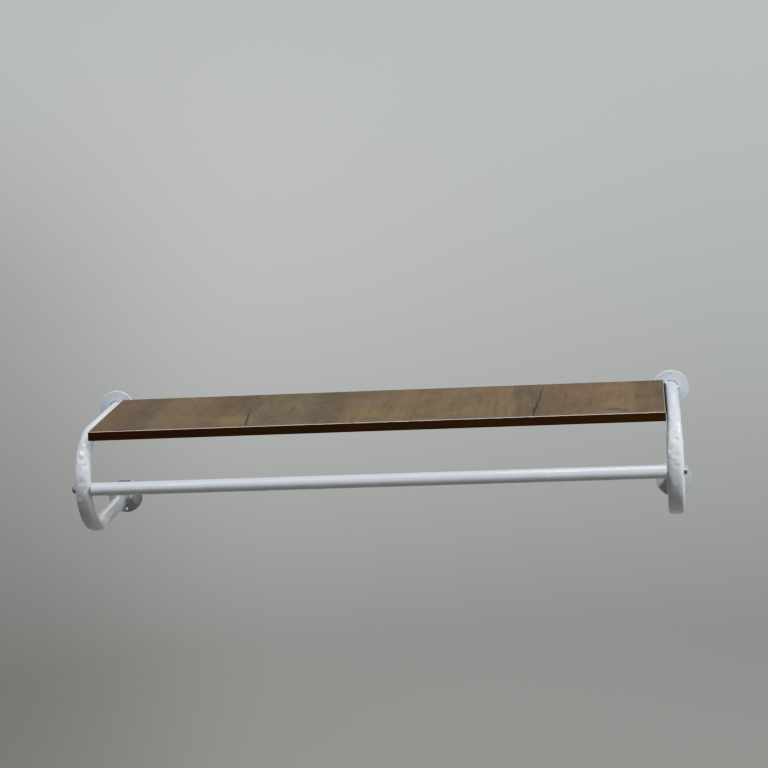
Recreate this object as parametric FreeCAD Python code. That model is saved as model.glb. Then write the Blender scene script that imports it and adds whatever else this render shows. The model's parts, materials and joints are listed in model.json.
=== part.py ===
import FreeCAD, Part
import math
import os

# Wall shelf: a laminated board held between two bent tube brackets, with a round
# hanging rail bolted across the front of the brackets.
# Millimetres. +Z is up, +Y points into the wall and the wall face is the plane Y = 0.
# X = 0 is midway between the brackets and Z = 0 midway between their two arms.

V = FreeCAD.Vector

# board
board_length = 1000.0
board_depth = 250.0
board_thick = 16.0
board_wall_gap = 4.0
laminate_thick = 0.8
band_thick = 1.0
band_edge_radius = 0.4

# bracket tubes: two level arms joined by one half-circle bend
tube_radius = 12.5
tube_wall = 1.5
tube_offset = 13.0
arm_spacing = 170.0
arm_length = 182.0
bend_half_width = 14.4
bend_half_depth = 10.7
bend_section_step = 10.0
flatten_start, flatten_full = 37.0, 89.0
round_start, round_full = 245.0, 287.0

# wall flanges
flange_radius = 32.5
flange_thick = 3.0
flange_edge_radius = 0.8
flange_hole_radius = 2.75
flange_hole_circle = 51.0
tack_radius = 3.2
tack_angles = (8.0, 128.0, 250.0)

# tabs under the board, one pair on each bracket
tab_reach = 28.0
tab_width = 30.0
tab_thick = 3.0
tab_corner_radius = 6.0
tab_positions = (-42.0, -158.0)
tab_hole_radius = 2.25
tab_hole_reach = 17.0
tab_weld_radius = 2.2
screw_radius = 2.0
screw_depth = 12.5
screw_tip = 3.0
screw_head_radius = 4.0
screw_head_height = 2.6

# hanging rail and the bolts that hold it
rail_radius = 11.5
rail_wall = 1.2
rail_half_length = 498.0
rail_end_radius = 1.0
rail_rise = 1.0
plug_collar_radius = 6.0
plug_stem_length = 16.0
plug_collar_length = 10.0
bolt_radius = 3.0
bolt_hole_radius = 3.3
bolt_end = 486.0
bolt_head_flats = 10.0
bolt_head_height = 4.0
washer_radius = 6.5
washer_thick = 1.2
bolt_seat_depth = 0.3

# derived positions
arm_z = arm_spacing / 2.0
bend_radius = arm_spacing / 2.0
bend_length = math.pi * bend_radius
tube_x = board_length / 2.0 + tube_offset
board_bottom = arm_z
board_top = board_bottom + board_thick
board_back = -board_wall_gap
board_front = board_back - board_depth
rail_y = -(arm_length + math.sqrt(bend_radius ** 2 - rail_rise ** 2))
bolt_seat_x = tube_x + bend_half_width - bolt_seat_depth


def box(x0, x1, y0, y1, z0, z1):
    return Part.makeBox(x1 - x0, y1 - y0, z1 - z0, V(x0, y0, z0))


def along_x(radius, x0, x1, y=rail_y, z=rail_rise):
    """Cylinder along X from x0 to x1."""
    return Part.makeCylinder(radius, x1 - x0, V(x0, y, z), V(1, 0, 0))


def along_y(radius, y0, y1, x, z):
    """Cylinder along Y from y0 to y1."""
    return Part.makeCylinder(radius, y1 - y0, V(x, y0, z), V(0, 1, 0))


def mirrored(shape):
    """The left-hand copy of a right-hand piece."""
    return shape.mirror(V(0, 0, 0), V(1, 0, 0))


def pair(shape):
    """A right-hand solid and its left-hand copy, kept as separate solids."""
    return Part.makeCompound([shape, mirrored(shape)])


# ---------------------------------------------------------------- board

def plain_board_layer(z0, z1):
    """A layer of the board inside its edge bands."""
    half = board_length / 2.0 - band_thick
    return box(-half, half, board_front + band_thick, board_back - band_thick, z0, z1)


def with_screw_holes(layer):
    for side in (-1, 1):
        for y in tab_positions:
            x = side * (tube_x - tube_radius - tab_hole_reach)
            layer = layer.cut(screw_shank(x, y))
    return layer


def long_band(y0, y1, outer_y):
    """Front or back edge band with its two long outer edges eased."""
    half = board_length / 2.0
    band = box(-half, half, y0, y1, board_bottom, board_top)
    edges = [e for e in band.Edges
             if e.Length > board_length - 1 and abs(e.CenterOfMass.y - outer_y) < 1e-6]
    return band.makeFillet(band_edge_radius, edges)


def end_band():
    half = board_length / 2.0
    return box(half - band_thick, half, board_front + band_thick, board_back - band_thick,
               board_bottom, board_top)


# ---------------------------------------------------------------- bracket tubes

def smooth(t):
    t = min(1.0, max(0.0, t))
    return t * t * (3.0 - 2.0 * t)


def flattening(along):
    """How flat the tube is, 0 to 1, at a distance along its centre line past the upper arm."""
    rise = smooth((along - flatten_start) / (flatten_full - flatten_start))
    return rise * smooth((round_full - along) / (round_full - round_start))


def tube_section(along, inset):
    """Closed oval section of the tube past the upper arm, its long axis across the bracket."""
    s = flattening(along)
    half_width = tube_radius + s * (bend_half_width - tube_radius) - inset
    half_depth = tube_radius + s * (bend_half_depth - tube_radius) - inset
    oval = Part.Wire([Part.Ellipse(V(0, 0, 0), half_width, half_depth).toShape()])
    angle = min(along, bend_length) / bend_radius
    past_bend = max(0.0, along - bend_length)
    oval.rotate(V(0, 0, 0), V(1, 0, 0), 90.0 + math.degrees(angle))
    oval.translate(V(tube_x, past_bend - arm_length - bend_radius * math.sin(angle),
                     bend_radius * math.cos(angle)))
    return oval


def bent_bar(inset, y_end):
    """Solid bar on the tube's centre line, thinner than the tube by the inset."""
    count = int(math.ceil(round_full / bend_section_step))
    sections = [tube_section(i * round_full / count, inset) for i in range(count + 1)]
    bar = Part.makeLoft(sections, True, False)
    bar = bar.fuse(along_y(tube_radius - inset, -arm_length, y_end, tube_x, arm_z))
    lower_start = round_full - bend_length - arm_length
    return bar.fuse(along_y(tube_radius - inset, lower_start, y_end, tube_x, -arm_z))


def bracket_outside():
    return bent_bar(0.0, -flange_thick)


def bracket_tube(outside):
    tube = outside.cut(bent_bar(tube_wall, -flange_thick))
    tube = tube.cut(along_x(bolt_hole_radius, tube_x - 20.0, tube_x + 20.0))
    return tube.cut(along_x(washer_radius, bolt_seat_x, bolt_seat_x + 5.0))


# ---------------------------------------------------------------- flanges and tack welds

def flange(z, first_hole_angle):
    disc = along_y(flange_radius, -flange_thick, 0.0, tube_x, z)
    rim = [e for e in disc.Edges
           if len(e.Vertexes) == 1 and abs(e.CenterOfMass.y + flange_thick) < 1e-6]
    disc = disc.makeFillet(flange_edge_radius, rim)
    for i in range(3):
        a = math.radians(first_hole_angle + 120.0 * i)
        x = tube_x + flange_hole_circle / 2.0 * math.cos(a)
        hole_z = z + flange_hole_circle / 2.0 * math.sin(a)
        disc = disc.cut(along_y(flange_hole_radius, -flange_thick - 1.0, 1.0, x, hole_z))
    return disc


def tack_welds(z):
    """Three weld blobs in the corner between the tube and its flange."""
    tube = along_y(tube_radius, -40.0, 1.0, tube_x, z)
    blobs = []
    for angle in tack_angles:
        a = math.radians(angle)
        centre = V(tube_x + tube_radius * math.cos(a), -flange_thick,
                   z + tube_radius * math.sin(a))
        blob = Part.makeSphere(tack_radius, centre, V(0, -1, 0))
        front = box(centre.x - 9, centre.x + 9, -20, -flange_thick, centre.z - 9, centre.z + 9)
        blobs.append(blob.common(front).cut(tube).Solids[0])
    return Part.makeCompound(blobs)


# ---------------------------------------------------------------- tabs under the board

def tab(y):
    """Flat tab shaped to the side of the tube, with rounded inner corners."""
    outer = tube_x - tube_radius + 1.0
    inner = tube_x - tube_radius - tab_reach
    plate = box(inner, outer, y - tab_width / 2.0, y + tab_width / 2.0,
                board_bottom - tab_thick, board_bottom)
    corners = [e for e in plate.Edges
               if abs(e.Length - tab_thick) < 1e-6 and abs(e.CenterOfMass.x - inner) < 1e-6]
    plate = plate.makeFillet(tab_corner_radius, corners)
    plate = plate.cut(along_y(tube_radius, -arm_length, -flange_thick, tube_x, arm_z))
    hole_x = tube_x - tube_radius - tab_hole_reach
    return plate.cut(Part.makeCylinder(tab_hole_radius, 10.0, V(hole_x, y, board_bottom - 6.0)))


def tab_weld(y):
    """Bead in the corner under a tab, along the side of the tube."""
    bead = along_y(tab_weld_radius, y - tab_width / 2.0 + 3.0, y + tab_width / 2.0 - 3.0,
                   tube_x - tube_radius + 0.6, board_bottom - tab_thick)
    below = box(tube_x - 30.0, tube_x, y - 40.0, y + 40.0,
                board_bottom - 20.0, board_bottom - tab_thick)
    bead = bead.common(below).cut(along_y(tube_radius, -arm_length, 0.0, tube_x, arm_z))
    return bead.Solids[0]


def screw_shank(x, y):
    z = board_bottom - tab_thick
    top = board_bottom + screw_depth
    shank = Part.makeCylinder(screw_radius, top - screw_tip - z, V(x, y, z))
    return shank.fuse(Part.makeCone(screw_radius, 0.4, screw_tip, V(x, y, top - screw_tip)))


def board_screw(x, y):
    """Pan-head screw driven up through a tab, with a cross recess in its head."""
    z = board_bottom - tab_thick
    dome_radius = (screw_head_radius ** 2 + screw_head_height ** 2) / (2.0 * screw_head_height)
    dome = Part.makeSphere(dome_radius, V(x, y, z - screw_head_height + dome_radius))
    head = dome.common(box(x - 9, x + 9, y - 9, y + 9, z - 9, z))
    for length, width in ((4.4, 0.9), (0.9, 4.4)):
        head = head.cut(box(x - length / 2, x + length / 2, y - width / 2, y + width / 2,
                            z - 9, z - screw_head_height + 1.3))
    return head.fuse(screw_shank(x, y)).removeSplitter()


# ---------------------------------------------------------------- hanging rail

def hanging_rail():
    rail = along_x(rail_radius, -rail_half_length, rail_half_length)
    rims = [e for e in rail.Edges if len(e.Vertexes) == 1]
    rail = rail.makeFillet(rail_end_radius, rims)
    return rail.cut(along_x(rail_radius - rail_wall, -rail_half_length - 1, rail_half_length + 1))


def rail_plug(outside):
    """Plug in the rail's end: stem inside the rail, saddle collar against the bracket."""
    stem = along_x(rail_radius - rail_wall, rail_half_length - plug_stem_length, rail_half_length)
    collar = along_x(plug_collar_radius, rail_half_length, rail_half_length + plug_collar_length)
    plug = stem.fuse(collar).cut(outside)
    return plug.cut(along_x(bolt_radius, rail_half_length - 30.0, rail_half_length + 30.0))


def hexagon(flats, height, x):
    corner = flats / math.sqrt(3.0)
    points = []
    for i in range(7):
        a = math.radians(30.0 + 60.0 * i)
        points.append(V(x, rail_y + corner * math.cos(a), rail_rise + corner * math.sin(a)))
    prism = Part.Face(Part.makePolygon(points)).extrude(V(height, 0, 0))
    crown = Part.makeCone(corner * 2.0, corner * 0.86, height + corner * 0.66,
                          V(x - corner * 0.66, rail_y, rail_rise), V(1, 0, 0))
    return prism.common(crown)


def rail_bolt():
    under_head = bolt_seat_x + washer_thick
    head = hexagon(bolt_head_flats, bolt_head_height, under_head)
    return head.fuse(along_x(bolt_radius, bolt_end, under_head))


def rail_washer():
    ring = along_x(washer_radius, bolt_seat_x, bolt_seat_x + washer_thick)
    return ring.cut(along_x(bolt_radius, bolt_seat_x - 5.0, bolt_seat_x + 5.0))


# ---------------------------------------------------------------- all pieces

outside = bracket_outside()
screw_x = tube_x - tube_radius - tab_hole_reach

pieces = {
    "board_core": with_screw_holes(
        plain_board_layer(board_bottom + laminate_thick, board_top - laminate_thick)),
    "board_top_laminate": plain_board_layer(board_top - laminate_thick, board_top),
    "board_bottom_laminate": with_screw_holes(
        plain_board_layer(board_bottom, board_bottom + laminate_thick)),
    "board_front_band": long_band(board_front, board_front + band_thick, board_front),
    "board_back_band": long_band(board_back - band_thick, board_back, board_back),
    "hanging_rail": hanging_rail(),
    "rail_bolts": pair(rail_bolt()),
    "rail_washers": pair(rail_washer()),
    "board_screws": Part.makeCompound(
        [board_screw(side * screw_x, y) for side in (-1, 1) for y in tab_positions]),
}

right_hand = {
    "board_{}_end_band": end_band(),
    "{}_bracket_tube": bracket_tube(outside),
    "{}_upper_flange": flange(arm_z, 90.0),
    "{}_lower_flange": flange(-arm_z, 270.0),
    "{}_upper_tack_welds": tack_welds(arm_z),
    "{}_lower_tack_welds": tack_welds(-arm_z),
    "{}_rear_tab": tab(tab_positions[0]),
    "{}_front_tab": tab(tab_positions[1]),
    "{}_tab_welds": Part.makeCompound([tab_weld(y) for y in tab_positions]),
    "{}_rail_plug": rail_plug(outside),
}
for name, shape in right_hand.items():
    pieces[name.format("right")] = shape
    pieces[name.format("left")] = mirrored(shape)

os.makedirs("parts", exist_ok=True)
for name, shape in pieces.items():
    shape.exportStep("parts/" + name + ".step")
    print(name, "solids", len(shape.Solids), "valid", shape.isValid(),
          "volume", round(shape.Volume, 1))
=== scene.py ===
import json
import math

import bpy
from mathutils import Euler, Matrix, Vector, noise


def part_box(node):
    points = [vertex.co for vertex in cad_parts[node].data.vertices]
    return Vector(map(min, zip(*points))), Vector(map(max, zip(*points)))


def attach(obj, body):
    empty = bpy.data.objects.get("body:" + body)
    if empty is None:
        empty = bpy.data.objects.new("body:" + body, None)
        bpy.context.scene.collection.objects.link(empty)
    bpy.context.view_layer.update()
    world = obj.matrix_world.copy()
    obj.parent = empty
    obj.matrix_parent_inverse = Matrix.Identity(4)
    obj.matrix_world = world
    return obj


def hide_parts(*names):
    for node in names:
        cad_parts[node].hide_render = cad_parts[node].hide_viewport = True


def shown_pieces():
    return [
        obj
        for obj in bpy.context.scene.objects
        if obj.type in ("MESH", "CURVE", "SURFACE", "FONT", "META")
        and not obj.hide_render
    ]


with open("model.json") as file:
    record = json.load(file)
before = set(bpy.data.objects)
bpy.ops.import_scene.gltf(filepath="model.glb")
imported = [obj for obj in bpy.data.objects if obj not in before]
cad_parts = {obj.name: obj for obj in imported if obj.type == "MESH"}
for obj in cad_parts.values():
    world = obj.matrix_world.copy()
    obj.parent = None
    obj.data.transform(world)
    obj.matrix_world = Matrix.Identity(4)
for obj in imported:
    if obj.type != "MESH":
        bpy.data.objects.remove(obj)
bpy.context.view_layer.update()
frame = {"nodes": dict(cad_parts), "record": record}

# ------------------------------------------------------------------ places read from the CAD

board_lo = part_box("board_front_band")[0]
board_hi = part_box("board_back_band")[1]
laminate_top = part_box("board_top_laminate")[1].z
flange_lo, flange_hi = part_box("right_upper_flange")
tube_lo, tube_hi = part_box("right_bracket_tube")
washer_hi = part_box("rail_washers")[1]
rail_lo, rail_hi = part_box("hanging_rail")

# the right bracket; the left one is its mirror image, and the lower arm mirrors the upper one
TUBE_X = (flange_lo.x + flange_hi.x) / 2
ARM_Z = (flange_lo.z + flange_hi.z) / 2
TUBE_R = tube_hi.z - ARM_Z
BEND_R = ARM_Z
BEND_HALF_WIDTH = TUBE_X - tube_lo.x
BEND_HALF_DEPTH = 0.0107    # this and the washer's thickness are the CAD's own; no box gives them
WASHER_THICK = 0.0012
ARM_START = tube_hi.y
ARM_END = tube_lo.y + BEND_HALF_DEPTH + BEND_R
ARM_LENGTH = ARM_START - ARM_END
BEND_LENGTH = math.pi * BEND_R
RAIL_Y = (rail_lo.y + rail_hi.y) / 2
RAIL_Z = (rail_lo.z + rail_hi.z) / 2


# ------------------------------------------------------------------ material helper

def fill_ramp(ramp, stops):
    """Give a colour ramp its stops: place from 0 to 1, colour."""
    points = ramp.elements
    while len(points) < len(stops):
        points.new(0.5)
    for point, (place, colour) in zip(points, stops):
        point.position = place
        point.color = (*colour, 1.0)


class Shader:
    """A node material with short calls for the nodes it uses."""

    def __init__(self, name):
        self.material = bpy.data.materials.new(name)
        self.material.use_nodes = True
        self.tree = self.material.node_tree
        self.bsdf = self.tree.nodes["Principled BSDF"]
        self.position = self.node("ShaderNodeTexCoord").outputs["Object"]

    def node(self, kind, inputs=None, **settings):
        made = self.tree.nodes.new(kind)
        for key, value in settings.items():
            setattr(made, key, value)
        for key, value in (inputs or {}).items():
            self.put(made.inputs[key], value)
        return made

    def put(self, socket, value):
        if isinstance(value, bpy.types.NodeSocket):
            self.tree.links.new(value, socket)
        else:
            socket.default_value = value

    def math(self, operation, a, b=0.0, c=0.0):
        made = self.node("ShaderNodeMath", operation=operation)
        for socket, value in zip(made.inputs, (a, b, c)):
            self.put(socket, value)
        return made.outputs[0]

    def scaled(self, scale, shift=(0.0, 0.0, 0.0)):
        made = self.node("ShaderNodeMapping", {"Vector": self.position, "Scale": scale,
                                               "Location": shift})
        return made.outputs["Vector"]

    def noise(self, scale, detail=3.0, roughness=0.5, distortion=0.0, stretch=(1, 1, 1),
              shift=(0, 0, 0)):
        made = self.node("ShaderNodeTexNoise", {
            "Vector": self.scaled(stretch, shift), "Scale": scale, "Detail": detail,
            "Roughness": roughness, "Distortion": distortion})
        return made.outputs["Fac"]

    def cells(self, scale, output="Distance"):
        made = self.node("ShaderNodeTexVoronoi", {"Vector": self.scaled((1, 1, 1)), "Scale": scale})
        return made.outputs[output]

    def fade(self, value, start, end, low=0.0, high=1.0):
        """low where value is below start, high above end, smooth between."""
        made = self.node("ShaderNodeMapRange", {
            "Value": value, "From Min": start, "From Max": end, "To Min": low, "To Max": high},
            interpolation_type="SMOOTHSTEP")
        return made.outputs["Result"]

    def ramp(self, value, *stops):
        made = self.node("ShaderNodeValToRGB", {"Fac": value})
        fill_ramp(made.color_ramp, stops)
        return made.outputs["Color"]

    def mix(self, amount, a, b):
        made = self.node("ShaderNodeMix", data_type="RGBA")
        self.put(made.inputs["Factor"], amount)
        # inputs 6 and 7 and output 2 are the node's colour sockets
        for socket, value in ((made.inputs[6], a), (made.inputs[7], b)):
            self.put(socket, (*value, 1.0) if isinstance(value, tuple) else value)
        return made.outputs[2]

    def bump(self, height, strength, distance, under=None):
        made = self.node("ShaderNodeBump", {"Height": height, "Strength": strength,
                                            "Distance": distance})
        if under is not None:
            self.put(made.inputs["Normal"], under)
        return made.outputs["Normal"]

    def axes(self):
        made = self.node("ShaderNodeSeparateXYZ", {"Vector": self.position})
        return made.outputs[0], made.outputs[1], made.outputs[2]

    def surface(self, **values):
        for key, value in values.items():
            name = key.replace("_", " ").title().replace("Ior", "IOR")
            self.put(self.bsdf.inputs[name], value)
        return self.material


# ------------------------------------------------------------------ materials

def painted_gap_shade(s, x, y, z):
    """1 in the narrow line of painted shade round each upper arm, where the gap between tube and
    flange lies in shade; on the front face of its flange only.
    """
    across = s.math("SUBTRACT", s.math("ABSOLUTE", x), TUBE_X)
    above = s.math("SUBTRACT", s.math("ABSOLUTE", z), ARM_Z)
    from_arm = s.math("SQRT", s.math("ADD", s.math("MULTIPLY", across, across),
                                     s.math("MULTIPLY", above, above)))
    face = flange_lo.y
    gap_shade = s.math("MULTIPLY", s.fade(from_arm, TUBE_R - 0.0002, TUBE_R + 0.0003),
                  s.fade(from_arm, TUBE_R + 0.0016, TUBE_R + 0.0028, 0.92, 0.0))
    gap_shade = s.math("MULTIPLY", gap_shade, s.fade(y, face - 0.0012, face - 0.0002))
    gap_shade = s.math("MULTIPLY", gap_shade, s.fade(y, face + 0.0008, face + 0.0016, 1.0, 0.0))
    return s.math("MULTIPLY", gap_shade, s.fade(z, 0.0, 0.01))


def on_upper_bend(s, x, y, z):
    """1 on the upper half of the bends, beyond the ends of the rail."""
    beyond_rail = s.fade(s.math("ABSOLUTE", x), rail_hi.x + 0.0005, rail_hi.x + 0.0015)
    in_front = s.fade(y, -0.215, -0.190, 1.0, 0.0)
    return s.math("MULTIPLY", beyond_rail,
                  s.math("MULTIPLY", in_front, s.fade(z, -0.03, 0.02)))


def powder_coat():
    """Glossy cool-white powder coat: soft mottling, orange peel, smudges and dust specks, with a
    painted shade line round each upper arm on its flange.
    """
    s = Shader("white_powder_coat")
    x, y, z = s.axes()
    cloud = s.noise(14.0, 4.0, 0.6)
    colour = s.mix(s.fade(cloud, 0.35, 0.75), (0.74, 0.745, 0.80), (0.68, 0.685, 0.735))
    smudge = s.noise(55.0, 5.0, 0.7, 0.6)
    colour = s.mix(s.fade(smudge, 0.60, 0.78, 0.0, 0.35), colour, (0.50, 0.50, 0.52))
    speck = s.fade(s.cells(260.0), 0.03, 0.09, 0.55, 0.0)
    colour = s.mix(speck, colour, (0.30, 0.29, 0.28))
    # painted shade: a near-black line round each upper arm, on its flange's front face
    colour = s.mix(painted_gap_shade(s, x, y, z), colour, (0.06, 0.06, 0.065))
    rough = s.fade(smudge, 0.4, 0.8, 0.26, 0.42)
    peel = s.bump(s.noise(420.0, 2.0), 0.04, 0.0004)
    peel = s.bump(s.noise(70.0, 1.0), 0.10, 0.0006, peel)
    pocked = s.math("MULTIPLY", on_upper_bend(s, x, y, z), 0.40)
    peel = s.bump(s.noise(150.0, 1.0, 0.4), pocked, 0.0016, peel)
    return s.surface(base_color=colour, roughness=rough, normal=peel, coat_weight=1.0,
                     coat_normal=peel, coat_roughness=0.04, ior=1.5)


# tones of the wood print, in linear colour
WALNUT = (0.050, 0.0248, 0.0118)
UMBER = (0.041, 0.022, 0.011)
SMOKE = (0.042, 0.0238, 0.0128)
OAK = (0.062, 0.0332, 0.0152)
STONE = (0.054, 0.0315, 0.0165)
HONEY = (0.077, 0.0408, 0.0135)
AMBER = (0.071, 0.0356, 0.0150)
RUSSET = (0.060, 0.0300, 0.0140)
SAND = (0.069, 0.0376, 0.0172)

# tones of the printed planks along the board: place of a stop on x (m), tone there; the tone runs
# from one stop to the next
PLANKS = [
    (-0.500, RUSSET), (-0.446, WALNUT), (-0.440, SMOKE), (-0.410, SMOKE), (-0.400, OAK),
    (-0.330, OAK), (-0.285, WALNUT), (-0.236, UMBER), (-0.222, STONE), (-0.135, STONE),
    (-0.112, SMOKE), (-0.070, SMOKE), (-0.050, OAK), (0.030, OAK), (0.034, SAND),
    (0.062, OAK), (0.066, OAK), (0.236, OAK), (0.240, UMBER), (0.284, UMBER),
    (0.290, WALNUT), (0.396, RUSSET), (0.402, AMBER), (0.446, OAK), (0.452, WALNUT),
    (0.500, UMBER),
]

# blurred patches: middle x, y, half size along x and y (m), strength, tone
PATCHES = [
    (-0.250, -0.205, 0.040, 0.055, 0.85, HONEY), (-0.345, -0.200, 0.060, 0.042, 0.60, OAK),
    (-0.345, -0.080, 0.040, 0.080, 0.60, SAND), (-0.262, -0.070, 0.042, 0.062, 0.80, UMBER),
    (-0.228, -0.095, 0.011, 0.070, 0.80, UMBER), (-0.090, -0.150, 0.036, 0.060, 0.70, SMOKE),
    (-0.050, -0.040, 0.085, 0.034, 0.80, UMBER), (-0.012, -0.185, 0.040, 0.042, 0.85, HONEY),
    (0.258, -0.045, 0.030, 0.050, 0.80, UMBER), (0.262, -0.165, 0.014, 0.028, 0.85, UMBER),
    (0.160, -0.060, 0.070, 0.040, 0.45, RUSSET), (0.330, -0.235, 0.030, 0.014, 0.60, WALNUT),
    (0.425, -0.130, 0.026, 0.060, 0.60, AMBER), (-0.475, -0.090, 0.022, 0.060, 0.55, RUSSET),
    (-0.425, -0.170, 0.018, 0.060, 0.60, SMOKE),
]

# dark splits: middle x, y, half length, half width (m), lean (x per y), wobble (m), depth
SPLITS = [
    (0.2815, -0.128, 0.135, 0.0024, 0.035, 0.012, 0.85),
    (0.2780, -0.212, 0.062, 0.0034, 0.060, 0.008, 0.92),
    (-0.2262, -0.200, 0.068, 0.0030, -0.094, 0.006, 0.92),
    (-0.2350, -0.120, 0.050, 0.0014, 0.030, 0.010, 0.45),
    (0.2640, -0.150, 0.060, 0.0012, 0.100, 0.016, 0.35),
    (0.0420, -0.150, 0.110, 0.0012, 0.020, 0.012, 0.35),
    (0.0560, -0.150, 0.110, 0.0012, -0.020, 0.012, 0.35),
    (0.4010, -0.130, 0.120, 0.0012, 0.004, 0.004, 0.35),
    (0.4520, -0.130, 0.120, 0.0010, 0.002, 0.004, 0.35),
    (0.0660, -0.130, 0.125, 0.0010, 0.000, 0.002, 0.30),
]

# short dark marks: middle x, y, half size along x and y (m), depth
CROSS_MARKS = [
    (0.4120, -0.2190, 0.0200, 0.0075, 0.85),
    (0.4310, -0.2270, 0.0120, 0.0050, 0.75),
    (0.4920, -0.1010, 0.0100, 0.0045, 0.80),
    (0.4900, -0.2130, 0.0120, 0.0045, 0.75),
    (0.4860, -0.0700, 0.0080, 0.0030, 0.50),
    (-0.4350, -0.2440, 0.0300, 0.0036, 0.60),
    (-0.1080, -0.1320, 0.0140, 0.0050, 0.35),
]


# what the print's last layers are mixed towards
CLOUD_DARK = (0.034, 0.019, 0.009)
CLOUD_LIGHT = (0.084, 0.049, 0.019)
GRAIN_DARK = (0.029, 0.016, 0.007)
FIBRE_LIGHT = (0.098, 0.058, 0.024)
PORE_DARK = (0.023, 0.014, 0.007)
SPLIT_DARK = (0.011, 0.007, 0.006)
MARK_DARK = (0.015, 0.010, 0.007)
# painted highlight of the top's rounded front and end corners
EDGE_HIGHLIGHT = (0.150, 0.110, 0.070)

PLANK_LEAN = 0.05       # how far a plank's joint moves along x per metre of depth
PLANK_WARP = 0.020      # width of the band that a joint wanders in (m)
PLANK_SHIFT = 0.0065    # puts the leaning joints back where PLANKS says, half way along the depth


def wood_laminate():
    """Brown rustic wood print: planks of uneven tone, grain across the board, long dark splits, and
    a painted highlight along the top's front and end corners.
    """
    s = Shader("wood_laminate")
    x, y, _z = s.axes()
    warp = s.math("SUBTRACT", s.noise(16.0, 3.0, 0.6), 0.5)
    grain = s.noise(5.0, 6.0, 0.65, 0.6, stretch=(26.0, 1.6, 1.0))
    fine = s.noise(34.0, 4.0, 0.65, 0.2, stretch=(18.0, 1.0, 1.0))
    cloud = s.noise(22.0, 5.0, 0.62, 1.2, stretch=(1.0, 0.7, 1.0))
    slanted = s.math("MULTIPLY_ADD", y, PLANK_LEAN, s.math("MULTIPLY_ADD", warp, PLANK_WARP, x))
    first = PLANKS[0][0]
    span = PLANKS[-1][0] - first
    place = s.math("DIVIDE", s.math("SUBTRACT", slanted, first - PLANK_SHIFT), span)
    colour = s.ramp(place, *[((at - first) / span, tone) for at, tone in PLANKS])
    for *patch, tone in PATCHES:
        colour = s.mix(patch_mark(s, x, y, *patch), colour, tone)
    colour = s.mix(s.fade(cloud, 0.46, 0.72, 0.0, 0.45), colour, CLOUD_DARK)
    colour = s.mix(s.fade(cloud, 0.46, 0.26, 0.0, 0.40), colour, CLOUD_LIGHT)
    colour = s.mix(s.fade(grain, 0.46, 0.72, 0.0, 0.60), colour, GRAIN_DARK)
    colour = s.mix(s.fade(fine, 0.50, 0.70, 0.0, 0.50), colour, FIBRE_LIGHT)
    pores = s.noise(150.0, 3.0, 0.6, stretch=(9.0, 0.7, 1.0))
    pore = s.fade(pores, 0.60, 0.74, 0.0, 0.5)
    colour = s.mix(pore, colour, PORE_DARK)
    height = s.math("SUBTRACT", grain, pore)
    for split in SPLITS:
        mark = split_mark(s, x, y, *split)
        colour = s.mix(mark, colour, SPLIT_DARK)
        height = s.math("SUBTRACT", height, mark)
    for cross_mark in CROSS_MARKS:
        colour = s.mix(patch_mark(s, x, y, *cross_mark), colour, MARK_DARK)
    # painted highlight: a pale line along the top's front corner, thinner along its ends
    from_end = s.math("SUBTRACT", board_hi.x, s.math("ABSOLUTE", x))
    edge = s.math("MINIMUM", s.math("SUBTRACT", y, board_lo.y), s.math("MULTIPLY", from_end, 1.6))
    highlight_reach = s.math("ADD", edge, s.math("MULTIPLY", fine, -0.0010))
    colour = s.mix(s.fade(highlight_reach, 0.0008, 0.0016, 0.5, 0.0), colour, EDGE_HIGHLIGHT)
    rough = s.fade(s.noise(9.0, 4.0), 0.3, 0.7, 0.46, 0.60)
    normal = s.bump(height, 0.30, 0.0005)
    normal = s.bump(s.noise(260.0, 2.0), 0.10, 0.0003, normal)
    return s.surface(base_color=colour, roughness=rough, normal=normal, ior=1.48,
                     specular_ior_level=0.05)


def split_mark(s, x, y, x0, y0, half_length, half_width, lean, wobble, depth):
    """0 to depth: a long thin dark mark that wanders about the line x = x0 + lean * (y - y0)."""
    wander = s.node("ShaderNodeTexNoise", {"W": s.math("MULTIPLY_ADD", y, 14.0, x0 * 40.0),
                                           "Scale": 1.0, "Detail": 4.0, "Roughness": 0.6},
                    noise_dimensions="1D").outputs["Fac"]
    along = s.math("SUBTRACT", y, y0)
    middle = s.math("ADD", s.math("MULTIPLY_ADD", along, lean, x0),
                    s.math("MULTIPLY", s.math("SUBTRACT", wander, 0.5), wobble))
    across = s.math("ABSOLUTE", s.math("SUBTRACT", x, middle))
    width = s.fade(s.math("ABSOLUTE", along), half_length * 0.35, half_length, half_width, 0.0)
    inside = s.math("DIVIDE", across, s.math("MAXIMUM", width, 1e-5))
    return s.fade(inside, 0.25, 1.0, depth, 0.0)


def patch_mark(s, x, y, x0, y0, half_x, half_y, depth):
    """0 to depth: a blurred oval patch with an uneven rim."""
    u = s.math("DIVIDE", s.math("SUBTRACT", x, x0), half_x)
    v = s.math("DIVIDE", s.math("SUBTRACT", y, y0), half_y)
    far = s.math("SQRT", s.math("ADD", s.math("MULTIPLY", u, u), s.math("MULTIPLY", v, v)))
    uneven = s.noise(60.0, 4.0, 0.7, stretch=(1.6, 0.7, 1.0), shift=(x0 * 9.0, y0 * 9.0, 0.0))
    far = s.math("ADD", far, s.math("MULTIPLY_ADD", uneven, 1.6, -0.8))
    return s.fade(far, 0.25, 1.15, depth, 0.0)


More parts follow.
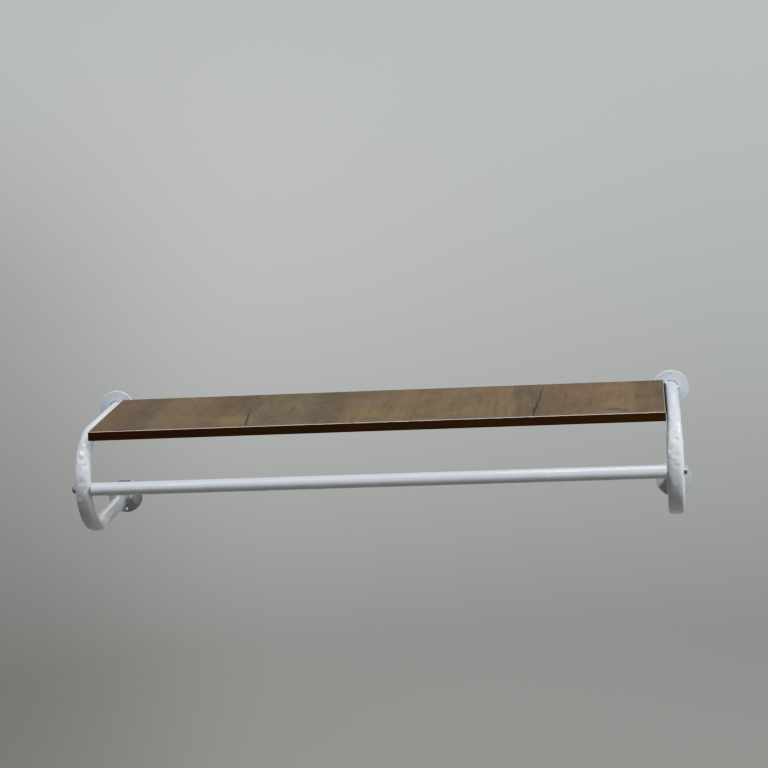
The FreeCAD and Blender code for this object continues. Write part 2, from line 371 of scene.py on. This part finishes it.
def edge_band():
    """Very dark brown band with long faint streaks and a painted highlight along its top corner,
    faint on the end bands.
    """
    s = Shader("dark_edge_band")
    x, _y, z = s.axes()
    streak = s.noise(5.0, 5.0, 0.7, 0.5, stretch=(1.6, 1.6, 60.0))
    colour = s.ramp(streak, (0.30, (0.021, 0.0050, 0.0002)), (0.55, (0.040, 0.0108, 0.0003)),
                    (0.78, (0.068, 0.0220, 0.0008)))
    patch = s.noise(3.0, 3.0)
    colour = s.mix(s.fade(patch, 0.4, 0.7, 0.0, 0.5), colour, (0.044, 0.0170, 0.0010))
    # painted highlight along the band's top corner; at_end keeps it faint on the end bands
    corner_highlight = s.fade(s.math("ADD", z, s.math("MULTIPLY", s.noise(120.0), 0.0004)),
                  laminate_top - 0.0004, laminate_top - 0.00005, 0.0, 0.9)
    at_end = s.fade(s.math("ABSOLUTE", x), board_hi.x - 0.0012, board_hi.x - 0.0006, 1.0, 0.08)
    colour = s.mix(s.math("MULTIPLY", corner_highlight, at_end), colour, (0.45, 0.36, 0.28))
    rough = s.fade(streak, 0.3, 0.7, 0.38, 0.55)
    return s.surface(base_color=colour, roughness=rough, normal=s.bump(streak, 0.15, 0.0004),
                     ior=1.46, specular_ior_level=0.15)


def particle_board():
    """Bare particle board of the core: chips of three pale browns."""
    s = Shader("board_core")
    chip = s.cells(420.0, output="Color")
    tone = s.node("ShaderNodeSeparateColor", {"Color": chip}).outputs[0]
    colour = s.ramp(tone, (0.0, (0.33, 0.22, 0.12)), (0.5, (0.48, 0.35, 0.21)),
                    (1.0, (0.60, 0.47, 0.31)))
    return s.surface(base_color=colour, roughness=s.fade(tone, 0.0, 1.0, 0.75, 0.92),
                     normal=s.bump(s.cells(420.0), 0.5, 0.0005))


def plated_steel(name, tint, dull, scratches):
    """Plated steel with fine scratches; dull is its lowest roughness."""
    s = Shader(name)
    scratch = s.noise(90.0, 5.0, 0.7, 0.4, stretch=(1.0, 1.0, 9.0))
    colour = s.mix(s.fade(scratch, 0.40, 0.72, 0.0, scratches), tint,
                   tuple(0.45 * channel for channel in tint))
    return s.surface(base_color=colour, metallic=1.0,
                     roughness=s.fade(scratch, 0.3, 0.8, dull, dull + 0.22),
                     normal=s.bump(scratch, 0.12, 0.0003))


def grey_plastic():
    """Matt grey plastic of the rail's plugs."""
    s = Shader("grey_plug")
    grain = s.noise(600.0, 3.0)
    colour = s.mix(s.fade(s.noise(60.0), 0.3, 0.7), (0.20, 0.205, 0.22), (0.27, 0.275, 0.29))
    return s.surface(base_color=colour, roughness=s.fade(grain, 0.3, 0.7, 0.42, 0.62),
                     normal=s.bump(grain, 0.3, 0.0003))


def backdrop_paper():
    """Pale grey room with painted shade: darker and warmer low down, and darkest low on the left.
    """
    s = Shader("backdrop")
    x, _y, z = s.axes()
    cloud = s.noise(0.6, 2.0)
    colour = s.mix(cloud, (0.62, 0.635, 0.64), (0.67, 0.685, 0.69))
    # painted shade: darker and warmer towards the floor, and darker still low on the left
    colour = s.mix(s.fade(z, -3.2, 0.6, 0.9, 0.0), colour, (0.36, 0.35, 0.31))
    shade = s.math("MULTIPLY", s.fade(x, -2.5, -1.2, 0.55, 0.0), s.fade(z, -0.6, 0.7, 1.0, 0.0))
    colour = s.mix(shade, colour, (0.20, 0.195, 0.18))
    return s.surface(base_color=colour, roughness=0.9, normal=s.bump(s.noise(25.0), 0.02, 0.002))


BY_SLOT = {
    "white_powder_coat": powder_coat(),
    "dark_edge_band": edge_band(),
    "board_core": particle_board(),
    "zinc_screw": plated_steel("zinc_screw", (0.60, 0.61, 0.63), 0.30, 0.5),
    "bright_bolt": plated_steel("bright_bolt", (0.28, 0.28, 0.29), 0.09, 0.6),
    "grey_plug": grey_plastic(),
    "wood_laminate": wood_laminate(),
}

for part in frame["record"]["subparts"]:
    mesh = frame["nodes"][part["node"]].data
    mesh.materials.clear()
    mesh.materials.append(BY_SLOT[part["material_slot"]])


# ------------------------------------------------------------------ bent bracket tubes

TUBE_WALL = 0.0015
BORE_DEPTH = 0.025      # how far the open bore is modelled from each end
END_GAP = 0.0011        # how far the top of a cut end stands off its flange
SQUARENESS = 2.6        # power of the section's curve where the bend is flattened; 2 is an ellipse
FLAT_IN = (0.037, 0.052)    # flattening starts this far past the arm, and takes this long
FLAT_OUT = (0.287, 0.042)   # it has ended this far past the arm, having taken this long to fade
WORKED_FADE = 0.02      # lumps die out over this length beyond the bend
LUMP_HEIGHT = 0.00026
SEAT_R = 0.0055         # radius pressed flat under each bolt's washer
SEAT_BLEND = 0.004


def smooth(t):
    """0 below t = 0, 1 above t = 1, smooth between."""
    t = min(1.0, max(0.0, t))
    return t * t * (3.0 - 2.0 * t)


def flattening(past_arm):
    """How flat the tube is, 0 to 1, at a distance along it past the end of the upper arm."""
    return (smooth((past_arm - FLAT_IN[0]) / FLAT_IN[1])
            * smooth((FLAT_OUT[0] - past_arm) / FLAT_OUT[1]))


# dimples in the bend's skin:
# bend angle and section angle in degrees, half length along and half width around (m), depth (m)
DENTS = [
    (24, 78, 0.0060, 0.0060, 0.0004), (31, 112, 0.0050, 0.0055, 0.0005),
    (38, 66, 0.0045, 0.0045, 0.0006), (46, 96, 0.0040, 0.0045, 0.0007),
    (50, 128, 0.0045, 0.0040, 0.0006), (58, 44, 0.0045, 0.0040, 0.0006),
    (63, 108, 0.0036, 0.0040, 0.0007), (69, 74, 0.0040, 0.0040, 0.0006),
    (74, 122, 0.0045, 0.0040, 0.0005), (79, 92, 0.0040, 0.0045, 0.0006),
    (88, 112, 0.0055, 0.0045, 0.0004), (95, 62, 0.0050, 0.0050, 0.0004),
    (104, 98, 0.0060, 0.0055, 0.0003), (121, 80, 0.0070, 0.0065, 0.0004),
    (136, 110, 0.0060, 0.0060, 0.0003), (152, 84, 0.0070, 0.0060, 0.0003),
]
# creases on the inside of the bend's last part, listed the same way
CREASES = [(160, 256, 0.0019, 0.0070, 0.0016), (167, 282, 0.0022, 0.0060, 0.0014),
           (173, 262, 0.0018, 0.0055, 0.0010)]
# one pit with a raised rim: bend angle, section angle, radius, depth; its surroundings are smooth
CRATER = (55, 81, 0.0046, 0.0018)


def from_spot(angle, turn, at_angle, at_turn, along, around):
    """How far a point on the bend lies from a spot, along and around, in the spot's half sizes."""
    u = math.radians(angle - at_angle) * BEND_R / along
    v = math.radians((turn - at_turn + 180.0) % 360.0 - 180.0) * TUBE_R / around
    return u, v


def crater_distance(angle, turn):
    """Squared distance from the pit's middle, in its radii."""
    at_angle, at_turn, reach, _deep = CRATER
    u, v = from_spot(angle, turn, at_angle, at_turn, reach, reach)
    return u * u + v * v


def dent_depth(angle, turn, seed):
    """How far the bend's skin lies below its ideal section at one point."""
    depth = 0.0
    for at_angle, at_turn, along, around, deep in DENTS + CREASES:
        u, v = from_spot(angle, turn, at_angle + seed * 2.3, at_turn + seed * 9.0, along, around)
        if abs(u) < 3.0 and abs(v) < 3.0:
            depth += deep * math.exp(-u * u - v * v)
    far = crater_distance(angle, turn)
    if far < 16.0:
        depth += CRATER[3] * (1.0 - 0.9 * far) * math.exp(-far)
    return depth


def rounded(value, power):
    """value to a power, with its sign kept."""
    return math.copysign(abs(value) ** power, value)


def section_point(past_arm, turn):
    """Point on the tube and its outward direction, without dents."""
    angle = min(BEND_LENGTH, max(0.0, past_arm)) / BEND_R
    outward = Vector((0.0, -math.sin(angle), math.cos(angle)))
    y = ARM_END - min(0.0, past_arm) + max(0.0, past_arm - BEND_LENGTH)
    flat = flattening(past_arm)
    half_width = TUBE_R + flat * (BEND_HALF_WIDTH - TUBE_R)
    half_depth = TUBE_R + flat * (BEND_HALF_DEPTH - TUBE_R)
    power = 2.0 / (2.0 + flat * (SQUARENESS - 2.0))
    t = math.radians(turn)
    across = half_width * rounded(math.cos(t), power)
    outer = half_depth * rounded(math.sin(t), power)
    place = Vector((TUBE_X + across, y, 0.0)) + outward * (BEND_R + outer)
    lean = 2.0 / power - 1.0
    normal = Vector((rounded(across / half_width, lean) / half_width, 0, 0))
    normal += outward * rounded(outer / half_depth, lean) / half_depth
    return place, normal.normalized()


def skin_point(past_arm, turn, seed):
    """Point on the outside of a bracket tube with the marks that cold bending leaves."""
    place, normal = section_point(past_arm, turn)
    angle = math.degrees(past_arm / BEND_R)
    beyond = max(-past_arm, past_arm - BEND_LENGTH, 0.0)
    worked = math.exp(-beyond / WORKED_FADE)
    rough_zone = 1.0 + 1.1 * smooth((angle - 15.0) / 15.0) * smooth((105.0 - angle) / 25.0)
    calm = 1.0 - 0.95 * math.exp(-crater_distance(angle, turn) / 5.0)
    offset = Vector((seed * 7.0, seed * 5.0, 0.0))
    lump = noise.noise(place * 95.0 + offset) + 0.7 * noise.noise(place * 210.0 + offset)
    depth = calm * worked * rough_zone * LUMP_HEIGHT * max(0.0, lump + 0.45)
    place -= normal * (depth + dent_depth(angle, turn, seed))
    from_bolt = Vector((place.y - RAIL_Y, place.z - RAIL_Z)).length
    seat_x = washer_hi.x - WASHER_THICK
    if place.x > seat_x:
        place.x += (seat_x - place.x) * smooth(1.0 - (from_bolt - SEAT_R) / SEAT_BLEND)
    return place


AROUND = 96             # points round a section
ARM_RINGS = 30
BEND_RINGS = 200
RUN_OUT_RINGS = 14      # close rings past the bend, where its last lumps die out
RUN_OUT_STEP = 0.0015
RUN_OUT = RUN_OUT_RINGS * RUN_OUT_STEP
LOWER_RINGS = 24


def ring_places():
    """Where the skin's rings lie: distance past the end of the upper arm."""
    run_out_end = BEND_LENGTH + RUN_OUT
    rest = ARM_LENGTH - RUN_OUT
    arm = [-ARM_LENGTH * (1.0 - i / ARM_RINGS) for i in range(ARM_RINGS)]
    bend = [BEND_LENGTH * i / BEND_RINGS for i in range(BEND_RINGS + 1)]
    run_out = [BEND_LENGTH + RUN_OUT_STEP * i for i in range(1, RUN_OUT_RINGS + 1)]
    lower = [run_out_end + rest * (i + 1) / LOWER_RINGS for i in range(LOWER_RINGS)]
    return arm + bend + run_out + lower


def bore_ring(ring, centre_z, deep):
    """The ring of the tube's bore that lies deep metres in front of an end's outer ring."""
    shrink = (TUBE_R - TUBE_WALL) / TUBE_R
    return [Vector((TUBE_X + (p.x - TUBE_X) * shrink, p.y - deep,
                    centre_z + (p.z - centre_z) * shrink)) for p in ring]


def skin_rings(seed):
    """Every ring of the right bracket's skin, from the upper bore round to the lower one."""
    rings = [[skin_point(past_arm, 360.0 * j / AROUND, seed) for j in range(AROUND)]
             for past_arm in ring_places()]
    first, last = rings[0], rings[-1]
    for ring in (first, last):
        top = max(point.z for point in ring)
        for point in ring:
            point.y -= END_GAP * smooth(1.15 - (top - point.z) / (2.0 * TUBE_R))
    upper_bore = [bore_ring(first, ARM_Z, BORE_DEPTH), bore_ring(first, ARM_Z, 0.0)]
    lower_bore = [bore_ring(last, -ARM_Z, 0.0), bore_ring(last, -ARM_Z, BORE_DEPTH)]
    return upper_bore + rings + lower_bore


def tube_faces(ring_count, around):
    """Faces of a tube of rings, without its ends."""
    faces = []
    for i in range(ring_count - 1):
        for j in range(around):
            k = (j + 1) % around
            faces.append((i * around + j, i * around + k,
                          (i + 1) * around + k, (i + 1) * around + j))
    return faces


def bracket_skin(name, node, side, seed):
    """The bent tube, cut a little out of square at the flanges, with the bore open at its ends.

    side is 1 for the right bracket and -1 for the left; seed shifts the dents and lumps.
    """
    rings = skin_rings(seed)
    points = [(side * p.x, p.y, p.z) for ring in rings for p in ring]
    faces = tube_faces(len(rings), AROUND)
    faces.append(tuple(range(AROUND))[::-1])
    faces.append(tuple(range((len(rings) - 1) * AROUND, len(rings) * AROUND)))
    if side < 0:
        faces = [face[::-1] for face in faces]
    mesh = bpy.data.meshes.new(name)
    mesh.from_pydata(points, [], faces)
    mesh.polygons.foreach_set("use_smooth", [len(face) == 4 for face in faces])
    mesh.set_sharp_from_angle(angle=math.radians(50.0))
    mesh.materials.append(BY_SLOT["white_powder_coat"])
    skin = bpy.data.objects.new(name, mesh)
    bpy.context.scene.collection.objects.link(skin)
    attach(skin, "root")
    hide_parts(node)
    return skin


right_tube = bracket_skin("right_bracket_skin", "right_bracket_tube", 1.0, 1.0)
left_tube = bracket_skin("left_bracket_skin", "left_bracket_tube", -1.0, 0.0)


# ------------------------------------------------------------------ room, light and camera

ROOM_R = 5.2
FLOOR_Z = -3.4
WALL_TOP_Z = 4.2
COVE_R = 1.2


def round_room():
    """A pale floor that sweeps up into a round wall, open at the top."""
    profile = [(0.02, FLOOR_Z), (ROOM_R - COVE_R, FLOOR_Z)]
    for i in range(1, 13):
        a = math.radians(90.0 * i / 12)
        profile.append((ROOM_R - COVE_R + COVE_R * math.sin(a),
                        FLOOR_Z + COVE_R - COVE_R * math.cos(a)))
    profile.append((ROOM_R, WALL_TOP_Z))
    around = 96
    turns = [2 * math.pi * j / around for j in range(around)]
    points = [(r * math.cos(turn), r * math.sin(turn), z) for r, z in profile for turn in turns]
    faces = tube_faces(len(profile), around)
    faces.append(tuple(range(around))[::-1])
    mesh = bpy.data.meshes.new("room")
    mesh.from_pydata(points, [], faces)
    mesh.polygons.foreach_set("use_smooth", [True] * len(faces))
    mesh.materials.append(backdrop_paper())
    room = bpy.data.objects.new("room", mesh)
    bpy.context.scene.collection.objects.link(room)
    room.visible_diffuse = False
    return room


def lit_group(name, pieces):
    """A collection for the lamps that light only these pieces."""
    group = bpy.data.collections.new(name)
    for piece in pieces:
        group.objects.link(piece)
    return group


def area_light(name, place, target, size, power, colour, lights_only, kind="both"):
    """A round lamp that lights one group; kind is "both", "diffuse" or "glossy" light."""
    lamp = bpy.data.lights.new(name, "AREA")
    lamp.shape = "DISK"
    lamp.size = size
    lamp.energy = power
    lamp.color = colour
    holder = bpy.data.objects.new(name, lamp)
    holder.location = place
    holder.rotation_euler = (Vector(target) - Vector(place)).to_track_quat("-Z", "Y").to_euler()
    holder.visible_camera = False
    holder.visible_diffuse = kind != "glossy"
    holder.visible_glossy = kind != "diffuse"
    bpy.context.scene.collection.objects.link(holder)
    holder.light_linking.receiver_collection = lights_only


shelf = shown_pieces()
not_rail = [p for p in shelf if "rail" not in p.name]
shelf_pieces = lit_group("shelf_pieces", shelf)
all_but_right = lit_group("all_but_right", [p for p in shelf if p is not right_tube])
rail_pieces = lit_group("rail_pieces", [p for p in shelf if "rail" in p.name])
under_overhead = lit_group("under_overhead",
                           [p for p in not_rail if p not in (left_tube, right_tube)])
all_but_flanges = lit_group("all_but_flanges", [p for p in shelf if "flange" not in p.name])
left_only = lit_group("left_only", [left_tube])
right_only = lit_group("right_only", [right_tube])
both_tubes = lit_group("both_tubes", [left_tube, right_tube])
room_only = lit_group("room_only", [round_room()])

COOL = (0.86, 0.90, 1.0)
NEUTRAL = (0.95, 0.96, 1.0)
WARM = (1.0, 0.97, 0.91)
BLUE = (0.84, 0.91, 1.0)
SKY = (0.62, 0.86, 1.0)
DEEP_SKY = (0.52, 0.81, 1.0)
RAIL_SKY = (0.57, 0.76, 1.0)
PALE_SKY = (0.68, 0.82, 0.95)
WALL_COOL = (0.87, 0.96, 1.0)
WALL_YELLOW = (1.0, 1.0, 0.95)
WALL_WARM = (1.0, 0.99, 0.97)

MIDDLE = (0.0, -0.2, 0.0)
LEFT_TUBE = (-0.5, -0.1, 0.0)
RIGHT_TUBE = (0.5, -0.1, 0.0)

# name, place, target, size (m), power (W), colour, group it lights, kind of light
LAMPS = [
    # from above: the shelf's main light, with one lamp or more for each group
    ("key_left", (-0.90, -1.20, 3.00), (-0.4, -0.1, 0.0), 1.3, 46.0, COOL, all_but_right),
    ("key_right", (1.50, -0.75, 1.10), (0.4, -0.1, 0.0), 0.45, 21.0, BLUE, shelf_pieces),
    ("overhead", (0.32, -0.20, 2.70), (0.1, -0.1, 0.0), 0.9, 214.0, SKY, under_overhead),
    ("overhead_rail", (0.42, -0.20, 2.70), (0.1, -0.1, 0.0), 0.9, 182.0, RAIL_SKY, rail_pieces),
    ("crown_right", (2.30, 0.05, 2.00), RIGHT_TUBE, 0.6, 245.0, DEEP_SKY, right_only),
    ("crown_left", (1.10, 0.05, 2.40), LEFT_TUBE, 0.5, 215.0, PALE_SKY, left_only),
    ("fill_left", (-0.70, -0.70, 2.60), (-0.5, -0.2, 0.0), 0.5, 36.0, BLUE, left_only),
    ("fill_right", (1.70, -1.30, 2.50), RIGHT_TUBE, 0.6, 60.0, BLUE, right_only),
    # from behind: highlights along the tops of the arms, then light on the back
    ("ridge_left", (-0.92, 2.24, 0.81), (-0.5, -0.1, 0.02), 0.45, 1.7, NEUTRAL, left_only,
     "glossy"),
    ("ridge_right", (0.82, 2.32, 0.56), (0.5, -0.1, 0.02), 0.7, 3.0, BLUE, right_only,
     "glossy"),
    ("back_high", (-0.90, 1.90, 2.90), (0.0, -0.1, 0.0), 0.9, 26.0, NEUTRAL, shelf_pieces),
]
# small lamps that only leave highlights: on every piece, then on the bends' dents
for name, place in (("glint_left", (-0.90, -1.82, 1.76)), ("glint_middle", (0.22, -0.91, 2.10)),
                    ("glint_right", (1.36, -1.74, 1.75)), ("glint_far", (-2.28, -0.10, 1.34))):
    LAMPS.append((name, place, MIDDLE, 0.12, 11.0, NEUTRAL, shelf_pieces, "glossy"))
for number, place in enumerate(((-0.35, -1.60, 2.20), (0.95, -1.35, 2.10), (-1.60, -1.40, 1.60),
                                (1.95, -1.30, 1.50), (0.40, -2.00, 1.60), (-1.10, -0.60, 2.30))):
    LAMPS.append(("sparkle_%d" % number, place, MIDDLE, 0.22, 30.0, NEUTRAL, both_tubes, "glossy"))
LAMPS += [
    # soft light from below
    ("under_back", (0.30, 3.20, -1.20), (0.0, -0.1, 0.0), 1.0, 45.0, WARM, shelf_pieces, "diffuse"),
    ("front_low", (0.10, -2.40, -0.60), MIDDLE, 0.8, 3.6, WARM, all_but_flanges, "diffuse"),
    # uneven light on the wall behind the shelf
    ("wall_wash", (2.6, 0.9, 2.4), (2.3, 5.0, 0.9), 1.4, 285.0, WALL_COOL, room_only),
    ("wall_pool", (-0.90, 3.0, -0.1), (-0.95, 5.1, -0.8), 0.8, 30.0, WALL_YELLOW, room_only),
    ("wall_left", (-2.3, 3.4, 1.7), (-2.1, 5.1, 0.8), 0.6, 7.0, WALL_COOL, room_only),
]
# even light on the rest of the wall, weak where the lamps above light it
for number, turn in enumerate((30, 90, 150, 210, 330)):
    side = Vector((math.cos(math.radians(turn - 180)), math.sin(math.radians(turn - 180)), 0.0))
    LAMPS.append(("wall_fill_%d" % number, side * 1.5 + Vector((0, 0, 3.6)), side * 5.0, 1.2,
                  20.0 if side.y > 0.0 else 145.0, WALL_WARM, room_only))
for lamp_values in LAMPS:
    area_light(*lamp_values)

# the sky's colour from straight down (0) to straight up (1)
SKY_LEVELS = [
    (0.0, (0.20, 0.19, 0.165)), (0.38, (0.03, 0.029, 0.026)), (0.62, (0.02, 0.02, 0.02)),
    (0.76, (0.20, 0.21, 0.22)), (1.0, (0.26, 0.27, 0.28)),
]
world = bpy.data.worlds.new("studio")
world.use_nodes = True
sky = world.node_tree
up = sky.nodes.new("ShaderNodeSeparateXYZ")
climb = sky.nodes.new("ShaderNodeMapRange")
climb.inputs["From Min"].default_value = -1.0
tint = sky.nodes.new("ShaderNodeValToRGB")
fill_ramp(tint.color_ramp, SKY_LEVELS)
sky.links.new(sky.nodes.new("ShaderNodeTexCoord").outputs["Generated"], up.inputs["Vector"])
sky.links.new(up.outputs["Z"], climb.inputs["Value"])
sky.links.new(climb.outputs["Result"], tint.inputs["Fac"])
sky.links.new(tint.outputs["Color"], sky.nodes["Background"].inputs["Color"])
bpy.context.scene.world = world

CAMERA_PLACE = (0.4676, -3.5036, 0.8831)
CAMERA_TURN = (77.662, 3.727, 6.908)    # degrees about X, Y and Z
camera = bpy.data.objects.new("camera", bpy.data.cameras.new("camera"))
camera.data.lens = 92.4
camera.data.sensor_width = 36.0
camera.location = CAMERA_PLACE
camera.rotation_euler = Euler([math.radians(turn) for turn in CAMERA_TURN])
bpy.context.scene.collection.objects.link(camera)
bpy.context.scene.camera = camera
